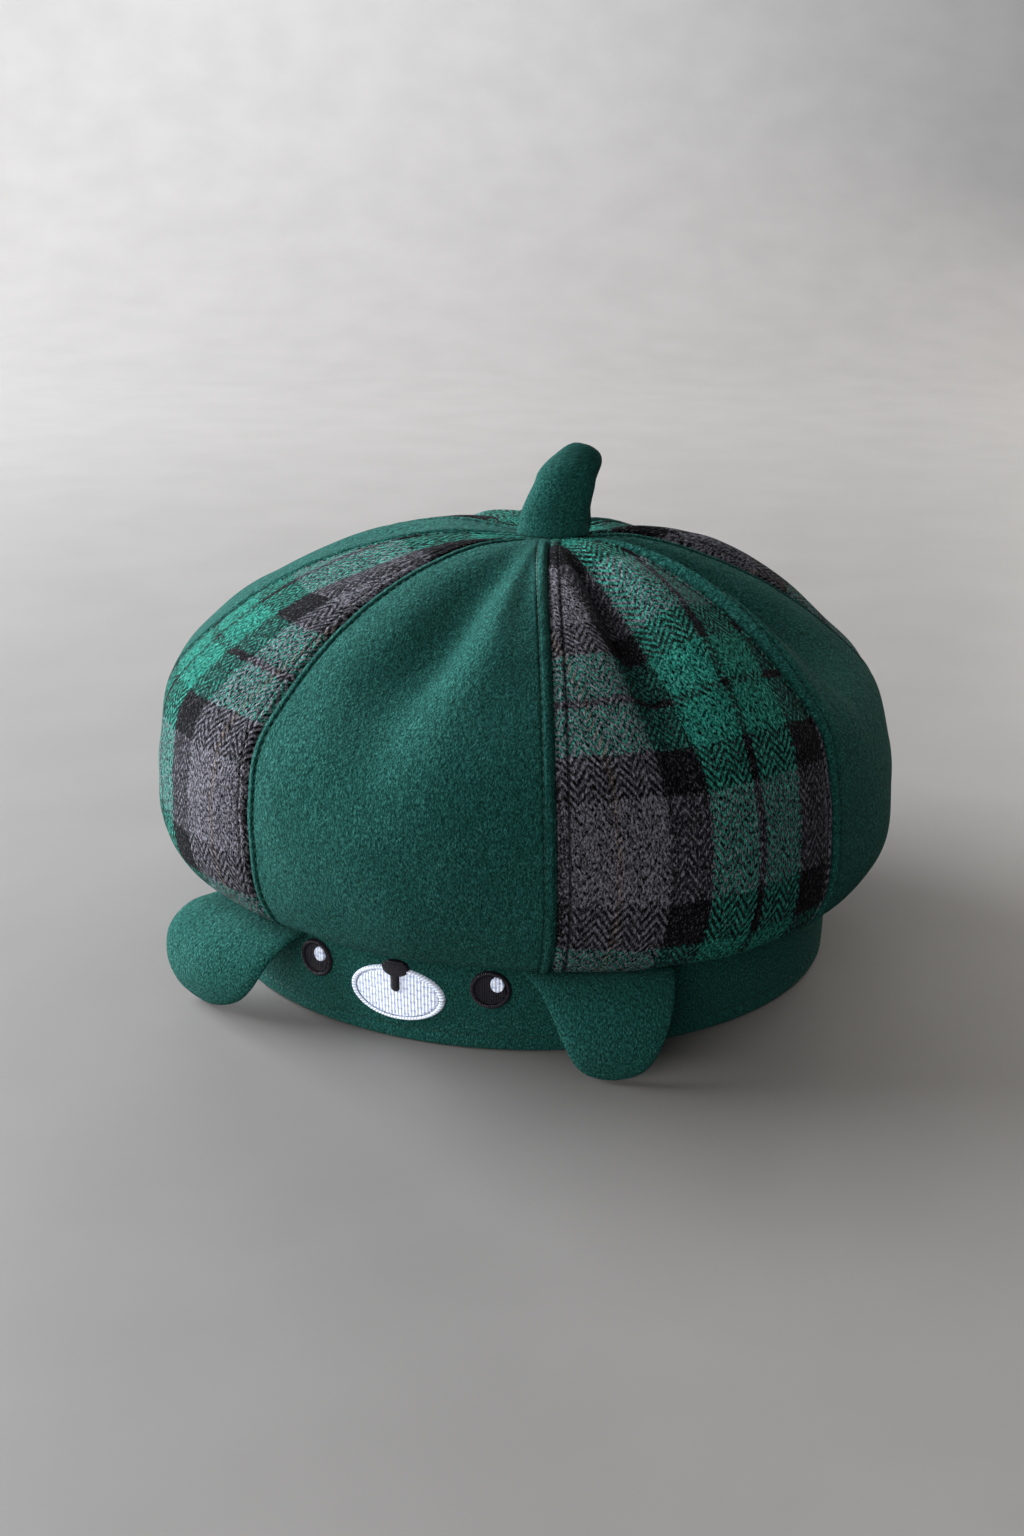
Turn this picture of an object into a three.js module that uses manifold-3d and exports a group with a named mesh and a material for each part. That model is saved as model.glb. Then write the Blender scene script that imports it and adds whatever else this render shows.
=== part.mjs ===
// A tam o'shanter: an eight-panel wool cap with a stuffed stem on top, a plain band, two floppy ears and an
// embroidered animal face. It stands on its band as it does on a table: +Z up, face towards -Y, millimetres.
import * as THREE from "three";
import Module from "manifold-3d";
import { mergeVertices } from "three/addons/utils/BufferGeometryUtils.js";

// Cloth
const SEAT_GAP = 0.3; // between two sewn pieces
const SEAT_FREE = 1.0; // how far the crown's cloth keeps level round the band's top
const CROWN_WALL = 2.0;
const BAND_WALL = 2.6;

// Band
const HEAD_GIRTH = 562; // round the inside of the band
const BAND_HEIGHT = 31;
const BAND_EDGE = 0.8; // rounding of its lower fold
const OVAL = 1.03; // how much wider than round, and how much shallower; the crown above it is round

// Crown
const PANEL_COUNT = 8; // plain and plaid in turn, the first one over the face
const CROWN_RADIUS = 110;
const CROWN_RISE = 93; // from the band's top to the apex
const PUFF = 2.6; // how far a panel stands out between its seams
const FOLD_DEPTH = 6;
const SAG = 2.2; // how far its lowest bulge hangs below the band's top
const SAG_MORE = 3.3; // and how much further at one place
const SAG_PLACE = 55; // degrees from the face towards +X, of that place
const SAG_RUN = 6; // out from the band, over which the sag sets in
const SAG_REACH = 35; // up from the band's top, over which it is lost
const SLUMP = 3; // how far its top has sunk on the side away from the face
const SLUMP_PLACE = 140; // degrees from the face towards +X, where that is
const LEAN_SIDE = 10; // how far the apex has slumped towards +X
const LEAN_FRONT = 2.2; // and towards the face
const APEX_OPENING = 4; // radius of the hole under the stem

// Stem
const STEM_HEIGHT = 27;
const STEM_WIDTH = 21.5;
const STEM_THICKNESS = 13;
const STEM_TURN = 14; // degrees, from the hat's side-to-side line
const STEM_BEND = 7.4; // how far its tip leans to one side

// Ears
const EAR_WIDTH = 40.5;
const EAR_THICKNESS = 4.4;
const EAR_DROP = 5.6; // its root's middle line, under the band's top
const EAR_TWIST = 4.5; // how much further out its outer side hangs than its middle
const EAR_TWIST_END = 0.7; // share of half a wave that the twist runs through down to its tip
const EAR_CLEARANCE = 0.3; // between its tip and the table

// Face, embroidered on the band
const PATCH_THICKNESS = 0.9;
const MUZZLE_WIDTH = 27.5;
const MUZZLE_HEIGHT = 15.8;
const MUZZLE_PLACE = 14.4; // above the band's lower edge
const NOSE_WIDTH = 7.4;
const NOSE_HEIGHT = 4.4;
const NOSE_PLACE = 22.2;
const LIP_WIDTH = 1.9;
const LIP_LENGTH = 5.6;
const EYE_SIZE = 11;
const EYE_PLACE = 18.6;
const EYE_SPREAD = 16; // degrees from the middle of the face
const FACE_TURN = -2.5; // degrees, from the middle of the panel over it
const GLINT_WIDTH = 3.2;
const GLINT_HEIGHT = 3.9;
const GLINT_THICKNESS = 0.4;
const GLINT_SHIFT = 1.9; // to one side of the eye's middle, and up

const BAND_INNER = HEAD_GIRTH / (2 * Math.PI);
const BAND_OUTER = BAND_INNER + BAND_WALL;
const PANEL_ANGLE = (2 * Math.PI) / PANEL_COUNT;

// The crown's meridian from the apex to its lowest bulge: shares of CROWN_RADIUS outwards, of CROWN_RISE
// upwards and of PUFF. The cloth then turns under and runs in over the band's top.
const MERIDIAN = [
  { out: 0.0, up: 1.0, puff: 0.0 },
  { out: 0.14, up: 1.012, puff: 0.0 },
  { out: 0.28, up: 1.01, puff: 0.15 },
  { out: 0.5, up: 0.945, puff: 0.45 },
  { out: 0.69, up: 0.84, puff: 0.7 },
  { out: 0.84, up: 0.71, puff: 0.85 },
  { out: 0.96, up: 0.56, puff: 1.0 },
  { out: 1.0, up: 0.4, puff: 1.0 },
  { out: 1.0, up: 0.24, puff: 0.85 },
  { out: 0.975, up: 0.12, puff: 0.6 },
  { out: 0.935, up: 0.035, puff: 0.3 },
  { out: 0.895, up: 0.005, puff: 0.1 },
];

// Folds that run down the panels from the apex. Panel 0 is over the face, and the count goes on towards +X.
// side and drift are across the panel, which is -1 to 1 between its seams; width is in the same measure.
// from and to are shares of the meridian; depth is a share of FOLD_DEPTH, below nought for a ridge.
const FOLDS = [
  { panel: 0, side: 0.44, drift: -0.64, from: 0.08, to: 0.66, width: 0.32, depth: 0.9 },
  { panel: 0, side: 0.85, drift: -0.6, from: 0.1, to: 0.66, width: 0.3, depth: -0.3 },
  { panel: 1, side: -0.95, drift: 1.25, from: 0.08, to: 0.64, width: 0.32, depth: 0.95 },
  { panel: 1, side: 0.05, drift: 0.5, from: 0.1, to: 0.62, width: 0.35, depth: -0.3 },
  { panel: 2, side: -0.65, drift: 0.2, from: 0.08, to: 0.68, width: 0.4, depth: 1.1 },
  { panel: 3, side: 0.15, drift: -0.2, from: 0.08, to: 0.62, width: 0.45, depth: 0.9 },
  { panel: 4, side: -0.2, drift: 0.3, from: 0.08, to: 0.6, width: 0.34, depth: 0.7 },
  { panel: 5, side: 0.25, drift: -0.3, from: 0.08, to: 0.55, width: 0.33, depth: 0.6 },
  { panel: 6, side: 0.0, drift: 0.15, from: 0.08, to: 0.56, width: 0.35, depth: 0.5 },
  { panel: 7, side: 0.2, drift: -0.2, from: 0.08, to: 0.5, width: 0.35, depth: 0.25 },
];

// How far the seam after each panel swings towards the next one, midway down.
const SEAMS = [
  { swing: 3.3 },
  { swing: 0.6 },
  { swing: -1.2 },
  { swing: 0.9 },
  { swing: -1.0 },
  { swing: 0.8 },
  { swing: -0.6 },
  { swing: 0.4 },
];

// The stem from its foot to its tip: shares of STEM_HEIGHT, STEM_BEND and STEM_WIDTH.
const STEM = [
  { up: 0.22, bend: 0.1, width: 0.955 },
  { up: 0.44, bend: 0.3, width: 0.865 },
  { up: 0.57, bend: 0.45, width: 0.825 },
  { up: 0.67, bend: 0.58, width: 0.81 },
  { up: 0.8, bend: 0.84, width: 0.73 },
  { up: 0.9, bend: 1.0, width: 0.55 },
  { up: 0.97, bend: 1.0, width: 0.32 },
  { up: 1.0, bend: 0.93, width: 0.1 },
];

// The ears, which hang as they happen to: place is in degrees from the middle of the face, reach is how far
// out from the band, and swing is the degrees that the tip has moved towards +X.
const EARS = [
  { name: "left", side: -1, place: 30.4, reach: 20.5, swing: -1.8 },
  { name: "right", side: 1, place: 33.4, reach: 19, swing: -0.6 },
];

// An ear from its root to its tip: shares of its reach, of its way down, of EAR_WIDTH and of EAR_THICKNESS.
const EAR = [
  { out: 0.3, down: 0.03, width: 1.0, thick: 0.8 },
  { out: 0.58, down: 0.08, width: 0.98, thick: 0.95 },
  { out: 0.87, down: 0.27, width: 0.9, thick: 1.0 },
  { out: 0.99, down: 0.58, width: 0.74, thick: 1.0 },
  { out: 0.97, down: 0.79, width: 0.56, thick: 0.85 },
  { out: 0.93, down: 0.91, width: 0.36, thick: 0.6 },
  { out: 0.9, down: 0.97, width: 0.15, thick: 0.4 },
];

const ACROSS = 10; // facets across a panel
const DOWN = 22; // and down it
const RING = 72; // facets round the band

const { lerp, smoothstep } = THREE.MathUtils;
const radians = THREE.MathUtils.degToRad;
const steps = (count) => Array.from({ length: count + 1 }, (_, i) => i / count);
const turn = (count) => steps(count).slice(0, count).map((share) => 2 * Math.PI * share);

// A point at an angle from the face towards +X, a radius out and a height up, on the band's oval plan.
function hatPoint(angle, radius, height, oval = OVAL) {
  const out = new THREE.Vector3(Math.sin(angle) * oval, -Math.cos(angle) / oval, 0);
  return out.multiplyScalar(radius).setZ(height);
}

// A closed body through rings of as many points each. A strip's ends are capped across, others' from a middle.
function loft(rings, cap) {
  const count = rings[0].length;
  const points = rings.flat();
  const faces = [];
  for (let j = 0; j + 1 < rings.length; j++)
    for (let i = 0; i < count; i++) {
      const a = j * count + i;
      const b = j * count + ((i + 1) % count);
      faces.push(a, b, b + count, a, b + count, a + count);
    }
  for (const [first, last] of [
    [0, false],
    [points.length - count, true],
  ]) {
    const add = (a, b, c) => faces.push(...(last ? [a, b, c] : [a, c, b]));
    if (cap === "strip")
      for (let i = 0; i + 1 < count / 2; i++) {
        add(first + i, first + i + 1, first + count - 2 - i);
        add(first + i, first + count - 2 - i, first + count - 1 - i);
      }
    else {
      const middle = new THREE.Vector3();
      for (let i = 0; i < count; i++) middle.addScaledVector(points[first + i], 1 / count);
      points.push(middle);
      for (let i = 0; i < count; i++) add(points.length - 1, first + i, first + ((i + 1) % count));
    }
  }
  return new THREE.BufferGeometry().setFromPoints(points).setIndex(faces);
}

// The crown's meridian as one smooth line: at a share of its length, its radius, height and puff, and the way
// out. With it comes the share at which it starts to run in over the band.
function makeMeridian() {
  const seat = BAND_HEIGHT + SEAT_GAP;
  const knots = MERIDIAN.map(
    ({ out, up, puff }) => new THREE.Vector3(out * CROWN_RADIUS, BAND_HEIGHT + up * CROWN_RISE, puff),
  );
  knots.push(new THREE.Vector3(BAND_OUTER + SEAT_GAP, seat, 0), new THREE.Vector3(BAND_INNER, seat, 0));
  const line = new THREE.CatmullRomCurve3(knots, false, "centripetal");
  line.arcLengthDivisions = 600;
  const meridian = (share) => {
    const at = line.getPointAt(share);
    const along = line.getTangentAt(share);
    const size = Math.hypot(along.x, along.y);
    return { radius: at.x, height: at.y, puff: at.z, outward: -along.y / size, upward: along.x / size };
  };
  return [meridian, 1 - (BAND_WALL + SEAT_FREE) / line.getLength()];
}
const [meridian, seatShare] = makeMeridian();

// The share of the meridian at which it has come out to a radius, above its widest point.
function shareAt(radius) {
  let low = 0;
  let high = 0.5;
  for (let i = 0; i < 30; i++) {
    const middle = (low + high) / 2;
    if (meridian(middle).radius < radius) low = middle;
    else high = middle;
  }
  return (low + high) / 2;
}

// How far the folds of a panel draw it in, at a place across it and a share of the meridian.
function foldDepth(panel, across, share) {
  let depth = 0;
  for (const fold of FOLDS) {
    const along = (share - fold.from) / (fold.to - fold.from);
    if (fold.panel !== panel || along <= 0 || along >= 1) continue;
    const off = (across - fold.side - fold.drift * along) / fold.width;
    depth += fold.depth * Math.sin(Math.PI * along) ** 2 * Math.exp(-off * off);
  }
  return depth * FOLD_DEPTH;
}

// The slumped crown leans most at its apex and not at all where it is widest.
function lean(radius) {
  const share = Math.max(0, 1 - radius / CROWN_RADIUS) ** 2.5;
  return new THREE.Vector3(LEAN_SIDE, -LEAN_FRONT, 0).multiplyScalar(share);
}

// Its lowest bulge hangs below the band's top, more at one place.
function sag(angle, radius, height) {
  const more = Math.max(0, Math.cos(angle - radians(SAG_PLACE))) ** 4;
  const start = BAND_OUTER + SEAT_FREE;
  const clear = smoothstep(radius, start, start + SAG_RUN);
  const low = 1 - smoothstep(height, BAND_HEIGHT, BAND_HEIGHT + SAG_REACH);
  return clear * low * (SAG + SAG_MORE * more);
}

// Its upper half has sunk on one side.
function slump(angle, share) {
  return SLUMP * Math.sin(Math.PI * share) * Math.max(0, Math.cos(angle - radians(SLUMP_PLACE))) ** 2;
}

// A point of a panel, on its outer face or sunk below it.
function panelPoint(panel, across, share, sunk) {
  const { radius, height, puff, outward, upward } = meridian(share);
  const [before, after] = [panel + PANEL_COUNT - 1, panel].map((seam, side) => {
    const swing = SEAMS[seam % PANEL_COUNT].swing * Math.sin(Math.PI * share);
    const gap = (side ? -SEAT_GAP : SEAT_GAP) / 2;
    return (panel + side - 0.5) * PANEL_ANGLE + (swing + gap) / radius;
  });
  const bulge = Math.max(0, 1 - across * across);
  const lift = puff * PUFF * bulge - foldDepth(panel, across, share) * Math.sqrt(bulge) - sunk;
  const angle = lerp(before, after, (across + 1) / 2);
  const oval = lerp(1, OVAL, smoothstep(share, 0.62, 0.92));
  const up = height + upward * lift - sag(angle, radius, height) - slump(angle, share);
  return hatPoint(angle, radius + outward * lift, up, oval).add(lean(radius));
}

function makePanel(panel) {
  const top = shareAt(APEX_OPENING);
  const shares = [...steps(DOWN - 1).map((step) => lerp(top, seatShare, step)), 1];
  const rings = shares.map((share) => {
    const row = (sunk) => steps(ACROSS).map((place) => panelPoint(panel, 2 * place - 1, share, sunk));
    return [...row(CROWN_WALL), ...row(0).reverse()];
  });
  return loft(rings, "strip");
}

function makeBand() {
  const section = [
    [BAND_OUTER - BAND_EDGE, 0],
    [BAND_OUTER, BAND_EDGE],
    [BAND_OUTER, BAND_HEIGHT],
    [BAND_INNER, BAND_HEIGHT],
    [BAND_INNER, BAND_EDGE],
    [BAND_INNER + BAND_EDGE, 0],
    [BAND_OUTER - BAND_EDGE, 0],
  ];
  const ring = new THREE.LatheGeometry(
    section.map(([radius, height]) => new THREE.Vector2(radius, height)),
    RING,
  );
  return ring.rotateX(Math.PI / 2).scale(OVAL, 1 / OVAL, 1);
}

// The stem stands on the crown's top, in a frame of its own whose origin is the apex.
function makeStem() {
  const thickness = STEM_THICKNESS / STEM_WIDTH;
  const ring = ({ bend, width }, height) =>
    turn(16).map((angle) => {
      const half = (width * STEM_WIDTH) / 2;
      const x = Math.cos(angle) * half;
      const y = Math.sin(angle) * half * thickness;
      return new THREE.Vector3(x + bend * STEM_BEND, y, height(x, y));
    });
  const foot = (x, y) => meridian(shareAt(Math.hypot(x, y))).height + SEAT_GAP;
  const crownTop = foot(0, 0);
  const rings = STEM.map((row) => ring(row, () => crownTop + row.up * STEM_HEIGHT));
  return loft([ring({ bend: 0, width: 0.4 }, foot), ring({ bend: 0, width: 1 }, foot), ...rings], "middle");
}

// An ear's middle line runs out from the seam over the band and hangs to the table. It wraps round the hat.
function makeEar({ side, place, reach, swing }) {
  const top = BAND_HEIGHT - EAR_DROP;
  const knots = EAR.map(
    ({ out, down }) => new THREE.Vector2(BAND_OUTER + out * reach, lerp(top, EAR_CLEARANCE, down)),
  );
  const line = new THREE.SplineCurve([new THREE.Vector2(BAND_OUTER + SEAT_GAP, top), ...knots]);
  const rings = [{ width: 1, thick: 0.6 }, ...EAR].map(({ width, thick }, j) => {
    const at = line.points[j];
    const along = j ? line.getTangent(j / (line.points.length - 1)) : new THREE.Vector2(1, 0);
    const row = (face) =>
      steps(10).map((step) => {
        const across = 2 * step - 1;
        const rim = Math.sqrt(Math.max(0, 1 - across * across));
        const lift = (face * lerp(0.3, 1, rim) * thick * EAR_THICKNESS) / 2;
        const hang = j / EAR.length;
        const middle = radians(FACE_TURN + side * place + swing * hang);
        const angle = middle + (across * width * EAR_WIDTH) / 2 / at.x;
        const twist = side * across * width * EAR_TWIST * Math.sin(hang * Math.PI * EAR_TWIST_END);
        return hatPoint(angle, at.x - along.y * lift + twist, at.y + along.x * lift);
      });
    return [...row(-1), ...row(1).reverse()];
  });
  return loft(rings, "strip");
}

// A place on the band's outer face: so far round from the middle of the face, so high, so far off the cloth.
const onBand = (around, up, lift) => hatPoint(radians(FACE_TURN) + around / BAND_OUTER, BAND_OUTER + lift, up);

// An oval of embroidery with a domed rim, whose back lies over the cloth.
function makeOval(width, height, around, up, back, thickness) {
  const rows = [
    { size: 0.5, lift: 0 },
    { size: 1, lift: 0 },
    { size: 1, lift: 0.6 },
    { size: 0.93, lift: 1 },
    { size: 0.5, lift: 1 },
  ];
  const rings = rows.map(({ size, lift }) =>
    turn(24).map((angle) =>
      onBand(
        around + (Math.cos(angle) * size * width) / 2,
        up + (Math.sin(angle) * size * height) / 2,
        back + lift * thickness,
      ),
    ),
  );
  return loft(rings, "middle");
}

// The nose with the short line under it, grown all round by a margin, from a lift off the band to a thickness.
function makeNose(margin, back, thickness) {
  const width = NOSE_WIDTH / 2 + margin;
  const height = NOSE_HEIGHT / 2 + margin;
  const lip = LIP_WIDTH / 2 + margin;
  const corner = Math.acos(lip / width);
  const outline = new THREE.Shape();
  outline.absellipse(0, 0, width, height, -corner, Math.PI + corner, false);
  outline.absarc(0, LIP_WIDTH / 2 - NOSE_HEIGHT / 2 - LIP_LENGTH, lip, Math.PI, 2 * Math.PI, false);
  const sides = { depth: thickness, bevelEnabled: false, curveSegments: 10 };
  const flat = new THREE.ExtrudeGeometry(outline, sides);
  const at = flat.getAttribute("position");
  for (let i = 0; i < at.count; i++)
    at.setXYZ(i, ...onBand(at.getX(i), NOSE_PLACE + at.getY(i), back + at.getZ(i)));
  return flat;
}

const wasm = await Module();
wasm.setup();

function solidOf(geometry) {
  const bare = geometry.clone();
  bare.deleteAttribute("normal");
  bare.deleteAttribute("uv");
  const merged = mergeVertices(bare, 1e-3);
  const mesh = new wasm.Mesh({
    numProp: 3,
    vertProperties: merged.getAttribute("position").array,
    triVerts: new Uint32Array(merged.index.array),
  });
  return new wasm.Manifold(mesh);
}

function cutAway(geometry, tool) {
  const mesh = solidOf(geometry).subtract(solidOf(tool)).getMesh();
  return new THREE.BufferGeometry()
    .setAttribute("position", new THREE.BufferAttribute(mesh.vertProperties, 3))
    .setIndex(new THREE.BufferAttribute(mesh.triVerts, 1));
}

const cloth = (color, roughness) => new THREE.MeshStandardMaterial({ color, roughness, metalness: 0 });
const MATERIALS = {
  plain: cloth(0x0f5740, 0.95),
  plaid: cloth(0x3f5a50, 0.95),
  black: cloth(0x101014, 0.8),
  white: cloth(0xdfe3ee, 0.7),
};

const group = new THREE.Group();
function add(name, geometry, material) {
  const mesh = new THREE.Mesh(geometry, material);
  mesh.name = name;
  group.add(mesh);
  return mesh;
}

for (let panel = 0; panel < PANEL_COUNT; panel++) {
  const kind = panel % 2 ? "plaid" : "plain";
  add(`crown_panel_${kind}_${Math.floor(panel / 2) + 1}`, makePanel(panel), MATERIALS[kind]);
}
add("band", makeBand(), MATERIALS.plain);

const stem = add("stem", makeStem(), MATERIALS.plain);
stem.position.copy(lean(0));
stem.rotation.z = radians(STEM_TURN);

const face = { back: SEAT_GAP, front: SEAT_GAP + PATCH_THICKNESS + SEAT_GAP };
for (const ear of EARS) {
  const { name, side } = ear;
  add(`ear_${name}`, makeEar(ear), MATERIALS.plain);
  const around = side * radians(EYE_SPREAD) * BAND_OUTER;
  add(
    `eye_${name}`,
    makeOval(EYE_SIZE, EYE_SIZE, around, EYE_PLACE, face.back, PATCH_THICKNESS),
    MATERIALS.black,
  );
  add(
    `eye_glint_${name}`,
    makeOval(
      GLINT_WIDTH,
      GLINT_HEIGHT,
      around + GLINT_SHIFT,
      EYE_PLACE + GLINT_SHIFT,
      face.front,
      GLINT_THICKNESS,
    ),
    MATERIALS.white,
  );
}
const muzzle = makeOval(MUZZLE_WIDTH, MUZZLE_HEIGHT, 0, MUZZLE_PLACE, face.back, PATCH_THICKNESS);
add("muzzle", cutAway(muzzle, makeNose(SEAT_GAP, 0, 2 * face.front)), MATERIALS.white);
add("nose", makeNose(0, face.back, PATCH_THICKNESS), MATERIALS.black);

// The origin is on the table, under the middle of the hat.
const box = new THREE.Box3().setFromObject(group);
const middle = box.getCenter(new THREE.Vector3());
group.position.set(-middle.x, -middle.y, -box.min.z);

export default group;
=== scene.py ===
import math

import bpy
import numpy as np
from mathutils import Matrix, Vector


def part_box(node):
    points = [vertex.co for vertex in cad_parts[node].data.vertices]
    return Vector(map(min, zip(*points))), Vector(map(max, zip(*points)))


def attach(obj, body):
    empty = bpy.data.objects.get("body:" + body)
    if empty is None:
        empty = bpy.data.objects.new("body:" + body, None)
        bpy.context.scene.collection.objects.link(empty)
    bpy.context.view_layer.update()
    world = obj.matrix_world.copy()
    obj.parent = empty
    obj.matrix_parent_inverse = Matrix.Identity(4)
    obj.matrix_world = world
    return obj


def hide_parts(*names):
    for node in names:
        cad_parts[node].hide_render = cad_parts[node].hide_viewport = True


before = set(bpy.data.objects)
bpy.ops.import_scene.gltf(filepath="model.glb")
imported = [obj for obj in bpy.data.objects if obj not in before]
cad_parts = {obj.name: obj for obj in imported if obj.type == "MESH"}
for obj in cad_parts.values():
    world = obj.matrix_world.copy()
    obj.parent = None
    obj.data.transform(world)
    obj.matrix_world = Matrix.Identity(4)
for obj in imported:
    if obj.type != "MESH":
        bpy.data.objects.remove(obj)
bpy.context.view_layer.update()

# The cap's shapes are worked out in millimetres about its own upright axis: the face towards -Y, +Z up.
MM = 0.001

# The band, as the frame has it.
band_low, band_high = (Vector(corner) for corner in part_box("band"))
CAP_AXIS = np.array([(band_low.x + band_high.x) / 2, (band_low.y + band_high.y) / 2, 0])
BAND_HALF_WIDTH = (band_high.x - band_low.x) / 2 / MM
BAND_HALF_DEPTH = (band_high.y - band_low.y) / 2 / MM
BAND_OUTER = math.sqrt(BAND_HALF_WIDTH * BAND_HALF_DEPTH)
OVAL = math.sqrt(BAND_HALF_WIDTH / BAND_HALF_DEPTH)
BAND_HEIGHT = band_high.z / MM
BAND_WALL = 2.6
BAND_INNER = BAND_OUTER - BAND_WALL
SEAT_GAP = 0.3
SEAT_FREE = 1.0

# The crown. These sizes and its outline are the part's own.
PANEL_COUNT = 8
PANEL_ANGLE = 2 * math.pi / PANEL_COUNT
CROWN_WALL = 2.0
CROWN_RADIUS = 110
CROWN_RISE = 93
PUFF = 2.6
FOLD_DEPTH = 6
SAG = 2.2
SAG_MORE = 3.3
SAG_PLACE = math.radians(55)
SAG_RUN = 6
SAG_REACH = 35
SLUMP = 3
SLUMP_PLACE = math.radians(140)
LEAN_SIDE = 10
LEAN_FRONT = 2.2
APEX_OPENING = 4
OVAL_RUN = (0.62, 0.92)  # shares of the meridian, from a round top to the band's oval

# The meridian from the apex to its lowest bulge: shares of CROWN_RADIUS outwards, of CROWN_RISE upwards
# and of PUFF.
MERIDIAN = [
    dict(out=0.0, up=1.0, puff=0.0),
    dict(out=0.14, up=1.012, puff=0.0),
    dict(out=0.28, up=1.01, puff=0.15),
    dict(out=0.5, up=0.945, puff=0.45),
    dict(out=0.69, up=0.84, puff=0.7),
    dict(out=0.84, up=0.71, puff=0.85),
    dict(out=0.96, up=0.56, puff=1.0),
    dict(out=1.0, up=0.4, puff=1.0),
    dict(out=1.0, up=0.24, puff=0.85),
    dict(out=0.975, up=0.12, puff=0.6),
    dict(out=0.935, up=0.035, puff=0.3),
    dict(out=0.895, up=0.005, puff=0.1),
]

# Folds that run down the panels from the apex. Panel 0 is over the face, and the count goes on towards +X.
# side and drift are across the panel, which is -1 to 1 between its seams, and width is in the same measure.
# far is the width on the side towards the next panel, where it differs. start and end are shares of the
# meridian. depth is a share of FOLD_DEPTH, below nought for a ridge. On panels 0 to 3 they are deeper,
# moved or added here; on the others they are the part's own.
FOLDS = [
    dict(panel=0, side=0.38, drift=-0.68, start=0.06, end=0.78, width=0.38, far=0.29, depth=1.2),
    dict(panel=0, side=0.85, drift=-0.6, start=0.1, end=0.66, width=0.3, depth=-0.3),
    dict(panel=0, side=0.78, drift=-0.1, start=0.04, end=0.5, width=0.15, depth=0.35),
    dict(panel=1, side=-0.48, drift=0.34, start=0.02, end=0.78, width=0.17, far=0.36, depth=1.3),
    dict(panel=1, side=0.05, drift=0.5, start=0.1, end=0.62, width=0.35, depth=-0.3),
    dict(panel=2, side=-0.55, drift=0.28, start=0.0, end=0.74, width=0.2, far=0.75, depth=2.1),
    dict(panel=2, side=-0.87, drift=0.02, start=0.08, end=0.72, width=0.1, depth=-0.7),
    dict(panel=3, side=-0.75, drift=0.1, start=0.02, end=0.6, width=0.35, depth=-0.9),
    dict(panel=3, side=0.15, drift=-0.2, start=0.08, end=0.62, width=0.45, depth=0.9),
    dict(panel=4, side=-0.2, drift=0.3, start=0.08, end=0.6, width=0.34, depth=0.7),
    dict(panel=5, side=0.25, drift=-0.3, start=0.08, end=0.55, width=0.33, depth=0.6),
    dict(panel=6, side=0.0, drift=0.15, start=0.08, end=0.56, width=0.35, depth=0.5),
    dict(panel=7, side=0.2, drift=-0.2, start=0.08, end=0.5, width=0.35, depth=0.25),
]

# How far the seam after each panel swings towards the next one, midway down. Those after panels 1, 2 and 6
# differ from the part's.
SEAM_SWINGS = [3.3, 3.6, -5.5, 0.9, -1.0, 0.8, 2.4, 0.4]

# The crown is drawn in at both sides, low down.
TUCK = 3.0
TUCK_PLACE = math.radians(110)
TUCK_STARTS = (0.61, 0.73)  # shares of the meridian, between which it comes in
TUCK_ENDS = (0.78, 0.88)  # and goes out again

# The crown's sewing, which only shows here.
SEAM_GAP = 0.06  # between two panels where they meet
SEAM_DIP = 1.3  # how far the cloth turns in to a seam
SEAM_DIP_RUN = 0.8
PLAIN_RISE = 0.45  # over the seam allowance, which lies under the plain cloth
PLAID_RISE = 0.2
TOPSTITCH_PLACE = 3.1  # from the seam, on both sides
TOPSTITCH_DIP = 0.6
TOPSTITCH_WIDTH = 0.36
STITCH_PITCH = 2.7
STITCH_LENGTH = 2.1
STITCH_RADIUS = 0.17
PUCKER = 0.22
PUCKER_PITCH = 9.0
PUCKER_RUN = 7.0
SLACK_RISE = 0.45  # the soft waves in the middle of a panel
SLACK_SIZE = 34
SLACK_RUN = 9

ROWS = 200  # down a panel
EDGE_COLUMNS = 16  # beside a seam
FIELD_COLUMNS = 40  # from there to the panel's middle
EDGE_RUN = 5.0
INSIDE_COLUMNS = 30
TIP_LENGTH = 52.0  # the cloth is drawn longer in this much of each panel, from its tip
TIP_STRETCH = 0.35

SHARP_EDGE = math.radians(60)  # edges sharper than this stay so


# ---------------------------------------------------------------- shapes


def smoothstep(value, low, high):
    share = np.clip((value - low) / (high - low), 0, 1)
    return share * share * (3 - 2 * share)


def through(knots, per_span=40):
    """Points along a smooth centripetal curve through the knots, whose columns may be any measures."""
    knots = np.asarray(knots, float)
    ends = [2 * knots[0] - knots[1], *knots, 2 * knots[-1] - knots[-2]]
    points = []
    for p0, p1, p2, p3 in zip(ends, ends[1:], ends[2:], ends[3:]):
        d0, d1, d2 = (max(np.linalg.norm(b - a), 1e-6) ** 0.5 for a, b in ((p0, p1), (p1, p2), (p2, p3)))
        t1 = ((p1 - p0) / d0 - (p2 - p0) / (d0 + d1) + (p2 - p1) / d1) * d1
        t2 = ((p2 - p1) / d1 - (p3 - p1) / (d1 + d2) + (p3 - p2) / d2) * d1
        t = np.linspace(0, 1, per_span, endpoint=False)[:, None]
        curve = p1 + t1 * t + (3 * (p2 - p1) - 2 * t1 - t2) * t**2 + (2 * (p1 - p2) + t1 + t2) * t**3
        points.append(curve)
    return np.concatenate([*points, knots[-1:]])


def at_share(curve, share):
    """The curve's columns at shares of its length."""
    length = np.concatenate([[0], np.cumsum(np.linalg.norm(np.diff(curve, axis=0), axis=1))])
    return np.stack([np.interp(np.asarray(share) * length[-1], length, column) for column in curve.T], -1)


def hat_point(angle, radius, height, oval=OVAL):
    return np.stack([radius * np.sin(angle) * oval, -radius * np.cos(angle) / oval, height + 0 * angle], -1)


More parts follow.
